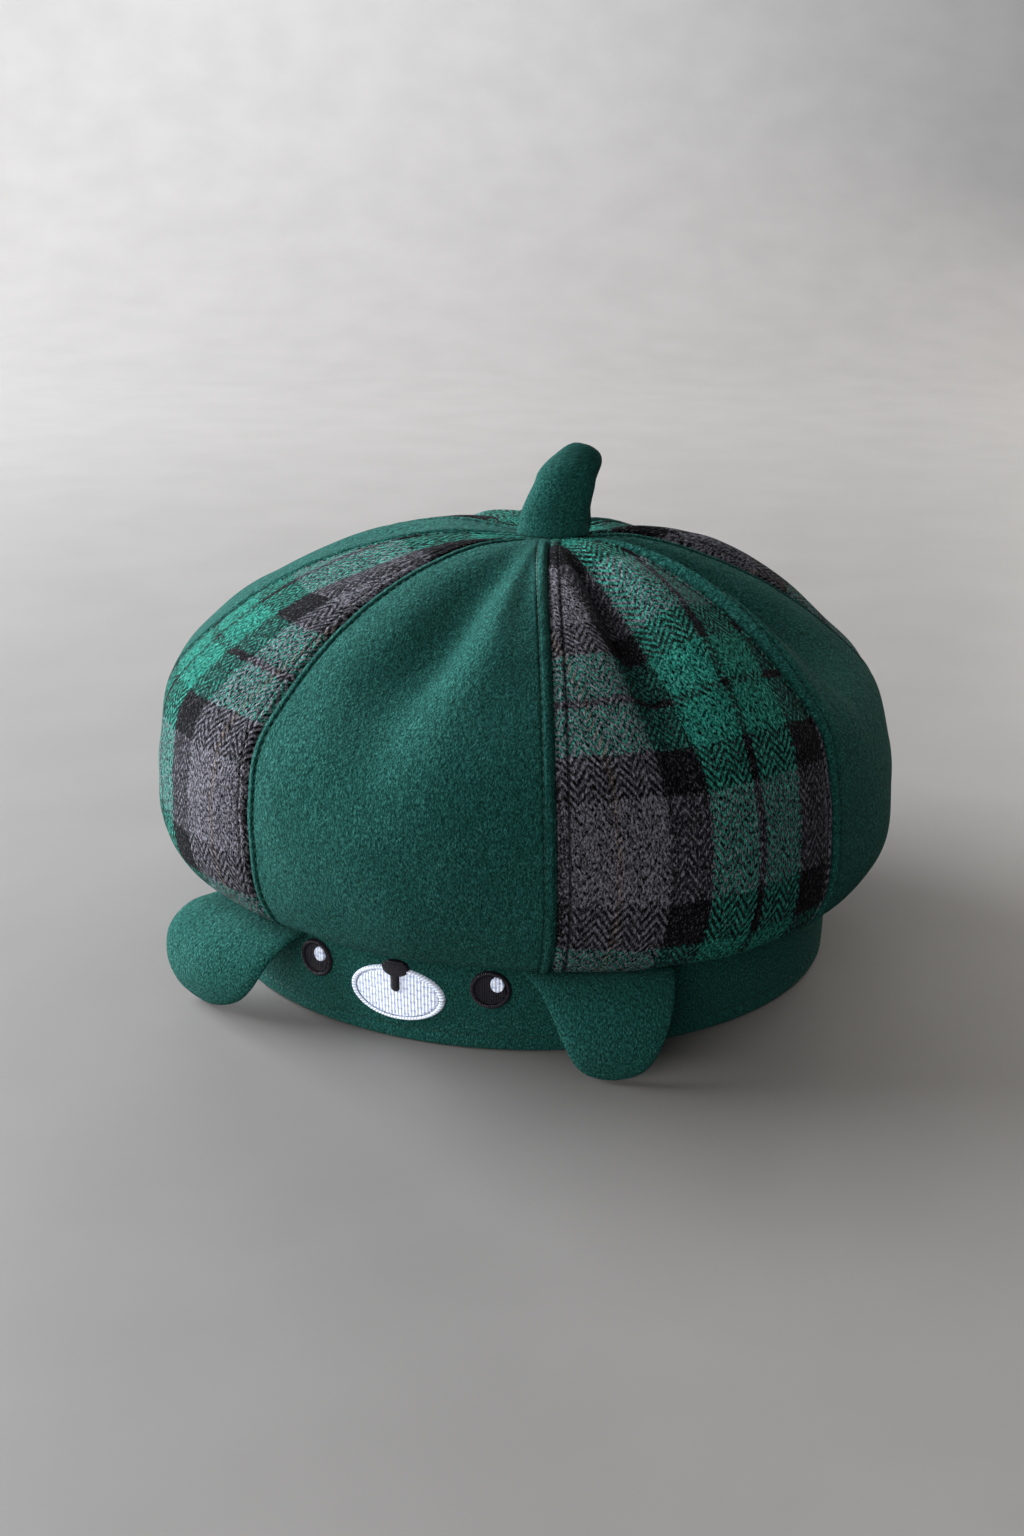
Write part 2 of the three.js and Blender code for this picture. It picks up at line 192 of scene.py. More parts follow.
def ripple(u, v, seed, size):
    """A smooth random surface of about -1 to 1, whose waves are about size long."""
    random = np.random.default_rng(seed)
    total = 0
    for _ in range(7):
        turn, phase = random.uniform(0, 2 * math.pi, 2)
        wave = 2 * math.pi / (size * random.uniform(0.7, 1.6))
        total = total + np.sin(wave * (u * math.cos(turn) + v * math.sin(turn)) + phase)
    return total / 4


def make_meridian():
    """The crown's outline: shares of its length, rows of (out, up, puff, outward, upward), and the length."""
    seat = BAND_HEIGHT + SEAT_GAP
    knots = [
        (row["out"] * CROWN_RADIUS, BAND_HEIGHT + row["up"] * CROWN_RISE, row["puff"])
        for row in MERIDIAN
    ]
    knots += [(BAND_OUTER + SEAT_GAP, seat, 0), (BAND_INNER, seat, 0)]
    curve = through(knots)
    length = np.linalg.norm(np.diff(curve, axis=0), axis=1).sum()
    shares = np.linspace(0, 1, 1200)
    line = at_share(curve, shares)
    along = np.gradient(line[:, :2], shares, axis=0)
    along /= np.linalg.norm(along, axis=1, keepdims=True)
    return shares, np.column_stack([line, -along[:, 1], along[:, 0]]), length


MERIDIAN_SHARES, MERIDIAN_LINE, MERIDIAN_LENGTH = make_meridian()
SEAT_SHARE = 1 - (BAND_WALL + SEAT_FREE) / MERIDIAN_LENGTH


def meridian(share):
    return [np.interp(share, MERIDIAN_SHARES, column) for column in MERIDIAN_LINE.T]


def fold_depth(panel, across, share):
    """How deep a panel's folds are at places across and down it."""
    depth = 0 * across
    for fold in FOLDS:
        if fold["panel"] != panel:
            continue
        along = np.clip((share - fold["start"]) / (fold["end"] - fold["start"]), 0, 1)
        off = across - fold["side"] - fold["drift"] * along
        off = off / np.where(off > 0, fold.get("far", fold["width"]), fold["width"])
        depth = depth + fold["depth"] * np.sin(math.pi * along) ** 2 * np.exp(-off * off)
    return depth * FOLD_DEPTH


def lean(radius):
    """How far the apex has moved from the cap's axis."""
    share = np.maximum(0, 1 - radius / CROWN_RADIUS) ** 2.5
    return np.stack([LEAN_SIDE * share, -LEAN_FRONT * share, 0 * share], -1)


def drop(angle, radius, height, share):
    """How far the crown hangs below its meridian: its lowest bulge everywhere, and its top on one side."""
    more = np.maximum(0, np.cos(angle - SAG_PLACE)) ** 4
    start = BAND_OUTER + SEAT_FREE
    clear = smoothstep(radius, start, start + SAG_RUN)
    low = 1 - smoothstep(height, BAND_HEIGHT, BAND_HEIGHT + SAG_REACH)
    slump = np.sin(math.pi * share) * np.maximum(0, np.cos(angle - SLUMP_PLACE)) ** 2
    return clear * low * (SAG + SAG_MORE * more) + SLUMP * slump


def seam_angles(panel, share, radius):
    """The angles of a panel's two edges."""
    edges = []
    for side, seam in ((0, (panel - 1) % PANEL_COUNT), (1, panel)):
        swing = SEAM_SWINGS[seam] * np.sin(math.pi * share)
        gap = (-1 if side else 1) * SEAM_GAP / 2
        edges.append((panel + side - 0.5) * PANEL_ANGLE + (swing + gap) / radius)
    return edges


def half_width(panel, share):
    """Half of a panel's width at shares of the meridian."""
    radius = meridian(share)[0]
    before, after = seam_angles(panel, share, radius)
    return (after - before) / 2 * radius


def sewing(edge, down, radius, panel):
    """What the sewing does to the cloth's surface, at a distance from the seam and down it."""
    dip = -SEAM_DIP * np.exp(-((edge / SEAM_DIP_RUN) ** 2))
    rise = PLAID_RISE if panel % 2 else PLAIN_RISE
    allowance = rise * (1 - smoothstep(edge, TOPSTITCH_PLACE - 0.6, TOPSTITCH_PLACE + 0.4))
    pull = 0.75 + 0.25 * np.cos(2 * math.pi * down / STITCH_PITCH)
    groove = -TOPSTITCH_DIP * pull * np.exp(-(((edge - TOPSTITCH_PLACE) / TOPSTITCH_WIDTH) ** 2))
    waves = ripple(down, 0 * down, 40 + panel, PUCKER_PITCH)
    pucker = PUCKER * waves * (1 - np.exp(-((edge / 2.5) ** 2))) * np.exp(-edge / PUCKER_RUN)
    return (dip + allowance + groove) * smoothstep(radius, 5, 22) + pucker * smoothstep(radius, 15, 40)


def panel_point(panel, across, share, sunk=0.0, sewn=True):
    """Points of a panel's surface: across from -1 to 1 between its seams, and at shares of the meridian."""
    radius, height, puff, outward, upward = meridian(share)
    before, after = seam_angles(panel, share, radius)
    angle = before + (after - before) * (across + 1) / 2
    bulge = np.maximum(0, 1 - across * across)
    lift = puff * PUFF * bulge - fold_depth(panel, across, share) * np.sqrt(bulge) - sunk
    if sewn:
        half = (after - before) / 2 * radius
        edge = half * (1 - np.abs(across))
        down = share * MERIDIAN_LENGTH
        free = 1 - smoothstep(share, SEAT_SHARE - 0.03, SEAT_SHARE)
        lift = lift + sewing(edge, down, radius, panel) * free
        slack = 1 - np.exp(-((edge / SLACK_RUN) ** 2))
        waves = SLACK_RISE * ripple(half * across, down, panel, SLACK_SIZE)
        lift = lift + waves * slack * smoothstep(radius, 15, 45) * free
    oval = 1 + (OVAL - 1) * smoothstep(share, *OVAL_RUN)
    low = smoothstep(share, *TUCK_STARTS) * (1 - smoothstep(share, *TUCK_ENDS))
    radius = radius - TUCK * low * np.cos(angle - TUCK_PLACE) ** 2
    up = height + upward * lift - drop(angle, radius, height, share)
    return hat_point(angle, radius + outward * lift, up, oval) + lean(radius)


# ---------------------------------------------------------------- meshes


def make_piece(name, points, faces, material, cloth):
    """A closed mesh from points in millimetres. cloth holds each point's place on the flat cloth."""
    mesh = bpy.data.meshes.new(name)
    mesh.from_pydata((np.asarray(points).reshape(-1, 3) * MM + CAP_AXIS).tolist(), [], faces)
    made = mesh.attributes.new("cloth", "FLOAT_VECTOR", "POINT")
    made.data.foreach_set("vector", np.asarray(cloth, float).reshape(-1).tolist())
    mesh.polygons.foreach_set("use_smooth", [True] * len(mesh.polygons))
    mesh.set_sharp_from_angle(angle=SHARP_EDGE)
    mesh.update()
    piece = bpy.data.objects.new(name, mesh)
    bpy.context.scene.collection.objects.link(piece)
    mesh.materials.append(material)
    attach(piece, "root")
    return piece


def quads(rings, count):
    """Faces between each ring of count points and the next."""
    faces = []
    for ring in range(rings - 1):
        for i in range(count):
            a = ring * count + i
            b = ring * count + (i + 1) % count
            faces.append((a, b, b + count, a + count))
    return faces


def capped(rings):
    """A closed body through rings, with a face across each end."""
    rings = np.asarray(rings)
    rows, count = rings.shape[:2]
    first = tuple(reversed(range(count)))
    last = tuple(range((rows - 1) * count, rows * count))
    return rings.reshape(-1, 3), [*quads(rows, count), first, last]


def panel_columns(half):
    """Distances from the seam of a half panel's columns, close together beside the seam."""
    knee = min(EDGE_RUN, half / 2)
    fine = np.linspace(0, knee, EDGE_COLUMNS, endpoint=False)
    return np.concatenate([fine, np.linspace(knee, half, FIELD_COLUMNS + 1)])


def make_panel(panel, name, material):
    """A panel of the crown: its sewn outside and plain inside, as one closed shell."""
    low = np.interp(APEX_OPENING, MERIDIAN_LINE[:600, 0], MERIDIAN_SHARES[:600])
    shares = np.concatenate([np.linspace(low, SEAT_SHARE, ROWS), [1.0]])
    halves = half_width(panel, shares)
    columns = np.array([panel_columns(half) for half in halves])
    left = columns / halves[:, None] - 1
    across = np.concatenate([left, -left[:, -2::-1]], 1)
    share = np.broadcast_to(shares[:, None], across.shape)
    outside = panel_point(panel, across, share)
    inside_across = np.broadcast_to(np.linspace(1, -1, INSIDE_COLUMNS), (len(shares), INSIDE_COLUMNS))
    inside_share = np.broadcast_to(shares[:, None], inside_across.shape)
    inside = panel_point(panel, inside_across, inside_share, CROWN_WALL, sewn=False)
    rings = np.concatenate([outside, inside], 1)[:, ::-1]
    points, faces = capped(rings)
    all_across = np.concatenate([across, inside_across], 1)[:, ::-1]
    edge = halves[:, None] * (1 - np.abs(all_across))
    down = np.broadcast_to(shares[:, None] * MERIDIAN_LENGTH, edge.shape)
    mirror = -1 if panel > PANEL_COUNT / 2 else 1
    down = down + TIP_STRETCH * np.maximum(0, TIP_LENGTH - down)
    cloth = np.stack([mirror * all_across * halves[:, None], down, edge], -1)
    piece = make_piece(f"cloth_{name}", points, faces, material, cloth)
    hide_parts(name)


# ---------------------------------------------------------------- shading


class Shade:
    """A node's output in a material. Sums on it add Math nodes, and node() adds any other."""

    def __init__(self, tree, output=None):
        self.tree, self.output = tree, output

    def node(self, kind, inputs=(), output=0, stops=None, **settings):
        made = self.tree.nodes.new("ShaderNode" + kind)
        for key, setting in settings.items():
            setattr(made, key, setting)
        if stops:
            ramp = made.color_ramp
            ramp.interpolation = "CONSTANT"
            while len(ramp.elements) < len(stops):
                ramp.elements.new(1)
            for element, (position, color) in zip(ramp.elements, stops):
                element.position, element.color = position, (*color, 1)
        for key, value in dict(inputs).items():
            if isinstance(value, Shade):
                self.tree.links.new(value.output, made.inputs[key])
            else:
                made.inputs[key].default_value = value
        return Shade(self.tree, made.outputs[output])

    def math(self, operation, *values):
        return self.node("Math", enumerate(values), operation=operation)

    def __add__(self, other):
        return self.math("ADD", self, other)

    def __sub__(self, other):
        return self.math("SUBTRACT", self, other)

    def __rsub__(self, other):
        return self.math("SUBTRACT", other, self)

    def __mul__(self, other):
        return self.math("MULTIPLY", self, other)

    def __truediv__(self, other):
        return self.math("DIVIDE", self, other)

    __radd__ = __add__
    __rmul__ = __mul__

    def smooth(self, low, high):
        ends = {0: self, 1: low, 2: high, 3: 0.0, 4: 1.0}
        return self.node("MapRange", ends, interpolation_type="SMOOTHSTEP")

    def mix(self, low, high):
        """The colour between two, where self is the share of the second."""
        return self.node("Mix", {0: self, 6: low, 7: high}, output=2, data_type="RGBA")


def flat(color):
    return (*color, 1)


class Finish(Shade):
    """A material with one Principled shader, and the cloth's own coordinates in millimetres."""

    def __init__(self, name, **constants):
        self.material = bpy.data.materials.new(name)
        self.material.use_nodes = True
        super().__init__(self.material.node_tree)
        self.shader = self.tree.nodes["Principled BSDF"]
        for key, value in constants.items():
            self.shader.inputs[key.replace("_", " ")].default_value = value
        self.cloth = self.node("Attribute", output="Vector", attribute_name="cloth")
        split = self.tree.nodes.new("ShaderNodeSeparateXYZ")
        self.tree.links.new(self.cloth.output, split.inputs[0])
        self.across, self.down, self.edge = (Shade(self.tree, output) for output in split.outputs)
        place = self.node("TexCoord", output="Object")
        self.place = self.node("VectorMath", {0: place, 3: 1 / MM}, operation="SCALE")

    def noise(self, size, at=None, detail=2.0, rough=0.5):
        """Soft noise from 0 to 1 whose blotches are about size across."""
        inputs = {"Vector": at or self.place, "Scale": 1 / size, "Detail": detail, "Roughness": rough}
        return self.node("TexNoise", inputs)

    def stretched(self, across, down):
        """The cloth's coordinates, longer one way than the other."""
        scales = (1 / across, 1 / down, 1)
        return self.node("VectorMath", {0: self.cloth, 1: scales}, operation="MULTIPLY")

    def stitched(self, color, dark):
        """The colour with painted shade along the topstitching beside the seams: a dark dashed line where its
        holes and groove are.
        """
        off = self.math("ABSOLUTE", self.edge - TOPSTITCH_PLACE)
        dash = self.math("SINE", self.down * (2 * math.pi / STITCH_PITCH)) * 0.25 + 0.6
        return (off.smooth(0.6, 0.15) * dash).mix(color, flat(dark))

    def paint(self, color, height, depth, strength=1.0):
        """Sets the colour, and a bump of that height, whose whole step is depth millimetres."""
        self.tree.links.new(color.output, self.shader.inputs["Base Color"])
        ends = {"Height": height, "Distance": depth * MM, "Strength": strength}
        bump = self.node("Bump", ends)
        self.tree.links.new(bump.output, self.shader.inputs["Normal"])
        return self.material


FELT_DEEP = (0.001, 0.012, 0.0105)
FELT_BODY = (0.0085, 0.065, 0.056)
FELT_TIPS = (0.055, 0.2, 0.175)


def make_felt():
    """Fulled wool with a short nap: fibres lie down the cloth, over a soft mottle."""
    felt = Finish("plain_felt", Roughness=1.0, Sheen_Weight=0.05, Sheen_Roughness=0.35,
                  Sheen_Tint=flat((0.3, 0.9, 0.8)), Specular_IOR_Level=0.05)
    nap = felt.noise(1, felt.stretched(0.5, 0.8), detail=3.0, rough=0.65)
    fibres = felt.noise(1, felt.stretched(0.3, 0.7), detail=2.0, rough=0.7)
    creases = felt.noise(2.2, detail=3.0, rough=0.6)
    mottle = felt.noise(9.0, detail=3.0)
    grain = nap * 0.65 + fibres * 0.35
    body = grain.smooth(0.32, 0.6).mix(flat(FELT_DEEP), flat(FELT_BODY))
    tips = (grain.smooth(0.49, 0.72) * (0.1 + mottle * 1.1)).mix(body, flat(FELT_TIPS))
    # The topstitching's holes and groove get painted shade in FELT_DEEP.
    return felt.paint(felt.stitched(tips, FELT_DEEP), nap + fibres * 0.3 + creases * 2.2, 1.0)


# The plaid's stripes in order, and how wide each is. Warp and weft have the same, but for one narrow stripe.
GREY = (0.09, 0.087, 0.106)
FAWN = (0.11, 0.092, 0.088)
BLACK = (0.003, 0.0025, 0.0045)
GREEN = (0.011, 0.148, 0.114)
LINT = (0.25, 0.26, 0.28)
STRIPES = [
    (GREY, 12.2),
    (None, 1.8),  # fawn in the warp, and grey in the weft
    (GREY, 12.0),
    (BLACK, 12.0),
    (GREEN, 13.7),
    (BLACK, 2.6),
    (GREEN, 13.7),
    (BLACK, 12.0),
]
SETT = sum(width for _, width in STRIPES)
WARP_START = -41.5  # where the grey stripe begins, across the panel
WEFT_START = 124.0  # and down it
RIB_PITCH = 7.4  # of the herringbone's zigzag
RIB_SLOPE = 1.3  # how steeply it climbs
TWILL_PITCH = 2.5
YARN = 0.2625  # one warp yarn
FUZZ = 0.25  # how far the nap blends the two yarns


def stripe_colors(finish, along, start, middle):
    """The stripes' colours, from where they start. middle is the narrow stripe's."""
    share = finish.math("FRACT", (along - start) / SETT)
    stops, position = [], 0
    for color, width in STRIPES:
        stops.append((position / SETT, color or middle))
        position += width
    return finish.node("ValToRGB", {0: share}, stops=stops)


def make_plaid():
    """Herringbone wool: where warp floats over weft is a zigzag of short dashes."""
    plaid = Finish("plaid_wool", Roughness=1.0, Sheen_Weight=0.02, Sheen_Roughness=0.35,
                   Sheen_Tint=flat((0.85, 0.95, 1.0)), Specular_IOR_Level=0.03)
    sway = plaid.noise(14.0, detail=1.0) * 1.6 - 0.8
    stray = plaid.noise(0.8, detail=2.0) - 0.5
    across = plaid.across + sway
    down = plaid.down + sway
    yarn = plaid.math("FLOOR", (across + stray * 0.3) / YARN)
    zigzag = plaid.math("PINGPONG", yarn * YARN, RIB_PITCH / 2)
    course = (down + stray * 0.7 + zigzag * RIB_SLOPE) / TWILL_PITCH
    twill = plaid.math("SINE", course * (2 * math.pi))
    floats = plaid.node("CombineXYZ", {0: plaid.math("FLOOR", yarn / 2), 1: plaid.math("FLOOR", course * 2)})
    chance = plaid.node("TexWhiteNoise", {"Vector": floats}, noise_dimensions="3D")
    nap = plaid.noise(1, plaid.stretched(0.5, 0.9), detail=2.0, rough=0.7)
    over = (twill + (nap - 0.5) * 1.4 + (chance - 0.5) * 0.5).smooth(-0.2, 0.2)
    warp = stripe_colors(plaid, across + stray * 3.6, WARP_START, FAWN)
    weft = stripe_colors(plaid, down + stray * 3.6, WEFT_START, GREY)
    blend = plaid.node("Mix", {0: 0.5, 6: weft, 7: warp}, output=2, data_type="RGBA")
    woven = plaid.node("Mix", {0: FUZZ, 6: over.mix(weft, warp), 7: blend}, output=2, data_type="RGBA")
    # Painted highlight and shade: each float is lighter on its crown and darker where the yarns cross. The
    # nap and chance terms add random flecks, and warp floats come out a little lighter than weft floats.
    crown = plaid.math("ABSOLUTE", twill)
    light = plaid.math("MAXIMUM", (nap - 0.5) * 11.0 + crown * 0.4 + chance * 1.1, 0.0)
    cloth = plaid.node("VectorMath", {0: woven, 3: light + over * 0.35}, operation="SCALE")
    lint = (nap.smooth(0.56, 0.68) * 0.32).mix(cloth, flat(LINT))
    # The topstitching's holes and groove get painted shade in BLACK.
    color = plaid.stitched(lint, BLACK)
    return plaid.paint(color, over * 0.4 + light * 0.6, 0.6)


def make_thread(name, color, dark, pitch=0.42, row=1.15):
    """Machine embroidery: threads side by side, in rows that are laid like bricks."""
    thread = Finish(name, Roughness=0.5, Specular_IOR_Level=0.25)
    strand = thread.math("SINE", thread.down * (2 * math.pi / pitch))
    step = thread.math("FLOOR", thread.down / (pitch * 2)) * (row / 2)
    ends = thread.math("SINE", (thread.across + step) * (2 * math.pi / row))
    tucked = ends.smooth(0.6, 1.0) * thread.edge
    height = strand * 0.5 + 0.5 - tucked * 0.6
    # Darker in the troughs between strands and where the rows tuck in: painted shade, laid over the bump of
    # the same height.
    shade = height.smooth(-0.4, 0.8)
    return thread.paint(shade.mix(flat(dark), flat(color)), height, 0.22)


plain_felt = make_felt()
plaid_wool = make_plaid()
white_thread = make_thread("white_thread", (0.74, 0.8, 0.93), (0.38, 0.46, 0.68), pitch=0.95, row=2.6)
black_thread = make_thread("black_thread", (0.011, 0.009, 0.015), (0.001, 0.001, 0.0015), pitch=0.6)
green_thread = make_thread("green_thread", (0.012, 0.07, 0.058), (0.003, 0.02, 0.017))


# ---------------------------------------------------------------- crown

for panel in range(PANEL_COUNT):
    kind, material, slot = (
        ("plaid", plaid_wool, "plaid_wool") if panel % 2 else ("plain", plain_felt, "plain_felt")
    )
    make_panel(panel, f"crown_panel_{kind}_{panel // 2 + 1}", material)


# ---------------------------------------------------------------- stitches


STITCH_RINGS = 7
STITCH_SIDES = 6


def make_stitches(name, lines, material):
    """Short stitches along lines of (points, outward directions), each a bead with its ends sunk."""
    along = np.linspace(-1, 1, STITCH_RINGS)
    swell = np.sqrt(1 - (along * 0.93) ** 2)
    turn = np.linspace(0, 2 * math.pi, STITCH_SIDES, endpoint=False)
    all_points, all_faces, all_cloth = [], [], []
    start = 0
    for points, outward in lines:
        length = np.concatenate([[0], np.cumsum(np.linalg.norm(np.diff(points, axis=0), axis=1))])
        count = int(length[-1] / STITCH_PITCH)
        middles = (np.arange(count) + 0.5) * STITCH_PITCH
        places = middles[:, None] + along * STITCH_LENGTH / 2
        at = np.stack([np.interp(places, length, column) for column in points.T], -1)
        out = np.stack([np.interp(places, length, column) for column in outward.T], -1)
        ahead = np.gradient(at, axis=1)
        ahead /= np.linalg.norm(ahead, axis=-1, keepdims=True)
        beside = np.cross(out, ahead)
        beside /= np.linalg.norm(beside, axis=-1, keepdims=True)
        radius = (STITCH_RADIUS * swell)[None, :, None, None]
        rise = (STITCH_RADIUS * (0.4 - 1.6 * along**2))[None, :, None, None]
        ring = (
            at[:, :, None]
            + out[:, :, None] * (rise + radius * np.sin(turn)[:, None])
            + beside[:, :, None] * radius * np.cos(turn)[:, None]
        )
        for stitch in ring:
            body, faces = capped(stitch)
            all_points.append(body)
            all_faces += [tuple(start + i for i in face) for face in faces]
            rings, around = np.meshgrid(np.arange(STITCH_RINGS), np.arange(STITCH_SIDES), indexing="ij")
            all_cloth.append(np.stack([rings * 0.3, around * 0.2, 0 * rings], -1).reshape(-1, 3))
            start += len(body)
    make_piece(name, np.concatenate(all_points), all_faces, material, np.concatenate(all_cloth))


def topstitch_line(panel, side):
    """Where the stitching runs beside one seam of a panel, and its outward directions."""
    shares = np.linspace(0.1, SEAT_SHARE - 0.035, 400)
    half = half_width(panel, shares)
    across = side * (1 - TOPSTITCH_PLACE / half)
    at = panel_point(panel, across, shares)
    down = np.gradient(at, axis=0)
    beside = panel_point(panel, across + 0.5 / half, shares, sewn=False) - panel_point(
        panel, across - 0.5 / half, shares, sewn=False
    )
    out = np.cross(down, beside)
    out /= np.linalg.norm(out, axis=1, keepdims=True)
    return at, out


for kind, slot, material in (("plain", "plain_felt", green_thread), ("plaid", "plaid_wool", black_thread)):
    panels = range(0 if kind == "plain" else 1, PANEL_COUNT, 2)
    lines = [topstitch_line(panel, side) for panel in panels for side in (-1, 1)]
    make_stitches(f"topstitching_{kind}", lines, material)


# ---------------------------------------------------------------- band

BAND_STITCH_PLACE = 4.3
BAND_FOLD = 1.3  # the round of its lower edge
BAND_SWELL = 0.5
BAND_COLUMNS = 480
BAND_FINE = 7  # up to this height the rows are close together
BAND_STITCH_DIP = 0.45
BAND_STITCH_WIDTH = 0.55


def band_radius(height, angle):
    """The outside of the band: a little full, and drawn in along its stitching."""
    full = BAND_SWELL * np.sin(math.pi * np.clip(height / BAND_HEIGHT, 0, 1)) - BAND_SWELL * 0.5
    around = angle * BAND_OUTER
    pull = 0.7 + 0.3 * np.cos(2 * math.pi * around / STITCH_PITCH)
    groove = -BAND_STITCH_DIP * pull * np.exp(-(((height - BAND_STITCH_PLACE) / BAND_STITCH_WIDTH) ** 2))
    wave = 0.25 * ripple(around, height, 80, 40) * np.sin(math.pi * np.clip(height / BAND_HEIGHT, 0, 1))
    fold = BAND_FOLD * (1 - np.sqrt(np.clip(1 - (1 - height / BAND_FOLD).clip(0, 1) ** 2, 0, 1)))
    return BAND_OUTER + full + groove + wave - fold


def make_band():
    """One closed ring, with rows up its outside and down its plain inside."""
    angles = np.linspace(0, 2 * math.pi, BAND_COLUMNS, endpoint=False)
    heights = np.concatenate([
        BAND_FOLD * (1 - np.cos(np.linspace(0, math.pi / 2, 8, endpoint=False))),
        np.linspace(BAND_FOLD, BAND_FINE, 24, endpoint=False),
        np.linspace(BAND_FINE, BAND_HEIGHT, 26),
    ])
    up, angle = np.meshgrid(heights, angles)
    outer = hat_point(angle, band_radius(up, angle), up)
    inner_heights = np.array([BAND_HEIGHT, BAND_HEIGHT / 2, 1.2, 0.35, 0.0])
    inner_radii = BAND_INNER + np.array([0, 0, 0, 0.35, 1.1])
    up, angle = np.meshgrid(inner_heights, angles)
    inner = hat_point(angle, np.broadcast_to(inner_radii, up.shape), up)
    sections = np.concatenate([outer, inner], 1)
    rows, count = sections.shape[:2]
    faces = []
    for row in range(rows):
        for i in range(count):
            a, b = row * count + i, row * count + (i + 1) % count
            c, d = (row + 1) % rows * count + i, (row + 1) % rows * count + (i + 1) % count
            faces.append((a, c, d, b))
    up = np.concatenate([
        np.broadcast_to(heights, (rows, len(heights))),
        np.broadcast_to(inner_heights, (rows, len(inner_heights))),
    ], 1)
    around = ((angles + math.pi) % (2 * math.pi) - math.pi)[:, None] * BAND_OUTER
    cloth = np.stack([np.broadcast_to(around, up.shape), up, 0 * up], -1)
    band = make_piece("cloth_band", sections, faces, plain_felt, cloth)
    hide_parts("band")


def make_band_stitching():
    angles = np.linspace(0, 2 * math.pi, 1500)
    up = np.full_like(angles, BAND_STITCH_PLACE)
    at = hat_point(angles, band_radius(up, angles), up)
    out = hat_point(angles, np.ones_like(angles), 0 * angles)
    make_stitches("band_stitching", [(at, out)], green_thread)


make_band()
make_band_stitching()


# ---------------------------------------------------------------- ears

FACE_TURN = math.radians(-2.5)
EAR_WIDTH = 40.5
EAR_THICKNESS = 4.4
EAR_DROP = 5.6
EAR_TWIST = 4.5
EAR_TWIST_END = 0.7
EAR_CLEARANCE = 0.3
EAR_RINGS = 90
EAR_SIDES = 72
KNOT_STEP = 2.0  # between the numbers that an ear's knots carry along its curve

# The ears hang as they happen to. place is in degrees from the middle of the face, reach is how far out from
# the band, and swing is the degrees that the tip has moved towards +X. near and far make the outline fuller,
# or slimmer, on the side nearer the face and on the other.
EARS = [
    dict(name="left", side=-1, place=30.4, reach=20.5, swing=-1.8, near=4.5, far=0.0),
    dict(name="right", side=1, place=33.4, reach=19.0, swing=-0.6, near=-3.0, far=-3.0),
]

# An ear from its root to its tip: shares of its reach, of its way down, of EAR_WIDTH and of EAR_THICKNESS.
EAR = [
    dict(out=0.0, down=0.0, width=1.0, thick=0.6),
    dict(out=0.3, down=0.03, width=1.0, thick=0.8),
    dict(out=0.58, down=0.08, width=0.98, thick=0.95),
    dict(out=0.87, down=0.27, width=0.9, thick=1.0),
    dict(out=0.99, down=0.58, width=0.74, thick=1.0),
    dict(out=0.97, down=0.79, width=0.56, thick=0.85),
    dict(out=0.93, down=0.91, width=0.36, thick=0.6),
    dict(out=0.9, down=0.97, width=0.15, thick=0.4),
]


def make_ear(ear):
    """A padded ear, from rings across it from root to tip."""
    top = BAND_HEIGHT - EAR_DROP
    knots = []
    for index, row in enumerate(EAR):
        out = BAND_OUTER + (row["out"] * ear["reach"] if index else SEAT_GAP)
        height = top + (EAR_CLEARANCE - top) * row["down"]
        half, thick = row["width"] * EAR_WIDTH / 2, row["thick"] * EAR_THICKNESS / 2
        knots.append((out, height, half, thick, index * KNOT_STEP))
    stations = at_share(through(knots), np.linspace(0, 1, EAR_RINGS) ** 0.9)
    turn = np.linspace(0, 2 * math.pi, EAR_SIDES, endpoint=False)
    along = np.gradient(stations[:, :2], axis=0)
    along /= np.linalg.norm(along, axis=1, keepdims=True)
    rings, cloth = [], []
    length = np.concatenate([[0], np.cumsum(np.linalg.norm(np.diff(stations[:, :2], axis=0), axis=1))])
    for (radius, height, half, thick, knot), (ahead_out, ahead_up), down in zip(stations, along, length):
        hang = knot / KNOT_STEP / (len(EAR) - 1)
        across = np.sign(np.cos(turn)) * np.abs(np.cos(turn)) ** 0.75
        fuller = np.where(ear["side"] * across < 0, ear["near"], ear["far"]) / half
        across = across * (1 + fuller * np.abs(across) * math.sin(math.pi * min(1, hang * 1.05)) ** 1.5)
        lift = np.sign(np.sin(turn)) * np.abs(np.sin(turn)) ** 0.9 * thick
        middle = FACE_TURN + math.radians(ear["side"] * ear["place"] + ear["swing"] * hang)
        twist = ear["side"] * across * half / (EAR_WIDTH / 2) * EAR_TWIST
        twist = twist * math.sin(hang * math.pi * EAR_TWIST_END)
        angle = middle + across * half / radius
        sway = 0.35 * ripple(across * half, down + 0 * across, 60 + ear["side"], 22)
        raised = lift + sway
        rings.append(hat_point(angle, radius - ahead_up * raised + twist, height + ahead_out * raised))
        cloth.append(np.stack([across * half, down + 0 * across, 0 * across], -1))
    points, faces = capped(np.array(rings))
    points[:, 2] = np.maximum(points[:, 2], 0.1)
    piece = make_piece(f"cloth_ear_{ear['name']}", points, faces, plain_felt, cloth)
    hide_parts(f"ear_{ear['name']}")


for ear in EARS:
    make_ear(ear)


# ---------------------------------------------------------------- stem

STEM_HEIGHT = 27
STEM_WIDTH = 21.5
STEM_THICKNESS = 13
STEM_TURN = math.radians(14)
STEM_BEND = 7.4
STEM_RINGS = 90
STEM_SIDES = 80
STEM_SEAT = 5  # its foot follows the crown's top up to this height

